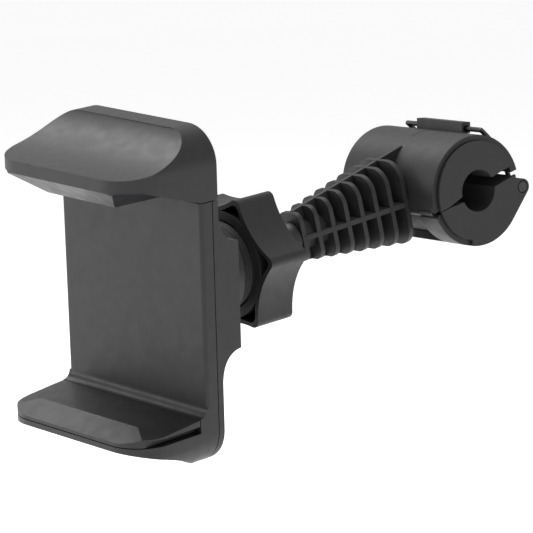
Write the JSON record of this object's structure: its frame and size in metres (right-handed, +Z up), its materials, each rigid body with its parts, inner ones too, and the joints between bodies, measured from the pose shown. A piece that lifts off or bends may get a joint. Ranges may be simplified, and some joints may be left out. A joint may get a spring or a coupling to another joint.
{
  "type": "phone handlebar mount",
  "caption": "Clamp-on phone holder: latched post clamp, ribbed arm, ball joint with a lobed nut, and a sprung upper jaw over a fixed lower jaw.",
  "frame": {"origin": "axis of the clamp's bore, at the middle of the barrel's length", "axes": "+X along the bore axis, +Z up, the arm and the phone holder towards -Y"},
  "size_m": [0.0709, 0.1723, 0.1039],
  "materials": {
    "moulded_plastic": "dark charcoal, satin moulded",
    "satin_plastic": "dark charcoal, satin",
    "rubber": "matte black elastomer",
    "inner_plastic": "black, semi-matte",
    "dark_steel": "black plated steel, glossy"
  },
  "bodies": {
    "root": {"clamp_body_with_arm": "moulded_plastic", "upper_grip_pad": "rubber", "jaw_hinge_pin": "dark_steel", "ball_stud": "moulded_plastic"},
    "jaw": {"clamp_jaw": "moulded_plastic", "lower_grip_pad": "rubber", "ear_pin_right": "dark_steel", "ear_pin_left": "dark_steel"},
    "bail": {"latch_bail_wire": "dark_steel"},
    "lever": {"latch_lever": "moulded_plastic"},
    "ball_seat": {"ball_cup": "inner_plastic"},
    "ball_race": {"ball_ring": "inner_plastic"},
    "holder": {"socket_collar": "moulded_plastic", "front_casing": "satin_plastic", "rear_casing": "satin_plastic", "lower_jaw_pad": "satin_plastic", "return_spring_right": "dark_steel", "return_spring_left": "dark_steel", "casing_screw_1": "dark_steel", "casing_screw_2": "dark_steel", "casing_screw_3": "dark_steel", "casing_screw_4": "dark_steel", "collar_screw_1": "dark_steel", "collar_screw_2": "dark_steel", "collar_screw_3": "dark_steel", "collar_screw_4": "dark_steel"},
    "nut": {"ball_nut": "moulded_plastic"},
    "upper_jaw": {"upper_jaw": "satin_plastic", "upper_jaw_pad": "rubber", "jaw_slider": "inner_plastic", "upper_jaw_screw_1": "dark_steel", "upper_jaw_screw_2": "dark_steel"}
  },
  "joints": [
    {"name": "jaw_hinge", "type": "hinge", "parent": "root", "child": "jaw", "pos_m": [0, -0.01391, -0.00562], "axis": [1, 0, 0], "range_deg": [-32, 0]},
    {"name": "bail_swing", "type": "hinge", "parent": "jaw", "child": "bail", "pos_m": [0, 0.0181, 0.0002], "axis": [1, 0, 0], "range_deg": [-92, 0]},
    {"name": "lever_pivot", "type": "hinge", "parent": "bail", "child": "lever", "pos_m": [0, 0.0056, 0.0183], "axis": [1, 0, 0], "range_deg": [0, 100]},
    {"name": "ball_tilt", "type": "hinge", "parent": "root", "child": "ball_seat", "pos_m": [0, -0.07575, -0.01903], "axis": [0.9816, 0.1737, -0.0797], "range_deg": [-7, 22]},
    {"name": "ball_swing", "type": "hinge", "parent": "ball_seat", "child": "ball_race", "pos_m": [0, -0.07575, -0.01903], "axis": [0.0983, -0.1015, 0.99], "range_deg": [-24, 5]},
    {"name": "ball_spin", "type": "hinge", "parent": "ball_race", "child": "holder", "pos_m": [0, -0.07575, -0.01903], "axis": [-0.1639, 0.9795, 0.1167], "continuous": true},
    {"name": "nut_turn", "type": "hinge", "parent": "holder", "child": "nut", "pos_m": [0, -0.07575, -0.01903], "axis": [-0.1639, 0.9795, 0.1167], "continuous": true},
    {"name": "jaw_slide", "type": "slide", "parent": "holder", "child": "upper_jaw", "axis": [0.0983, -0.1015, 0.99], "range_m": [0, 0.028], "stiffness_N_per_m": 80, "springref_m": -0.02, "deforming": ["return_spring_right", "return_spring_left"]}
  ],
  "couplings": [
    {"joint": "bail_swing", "follows": "jaw_hinge", "ratio": 2.857}
  ]
}
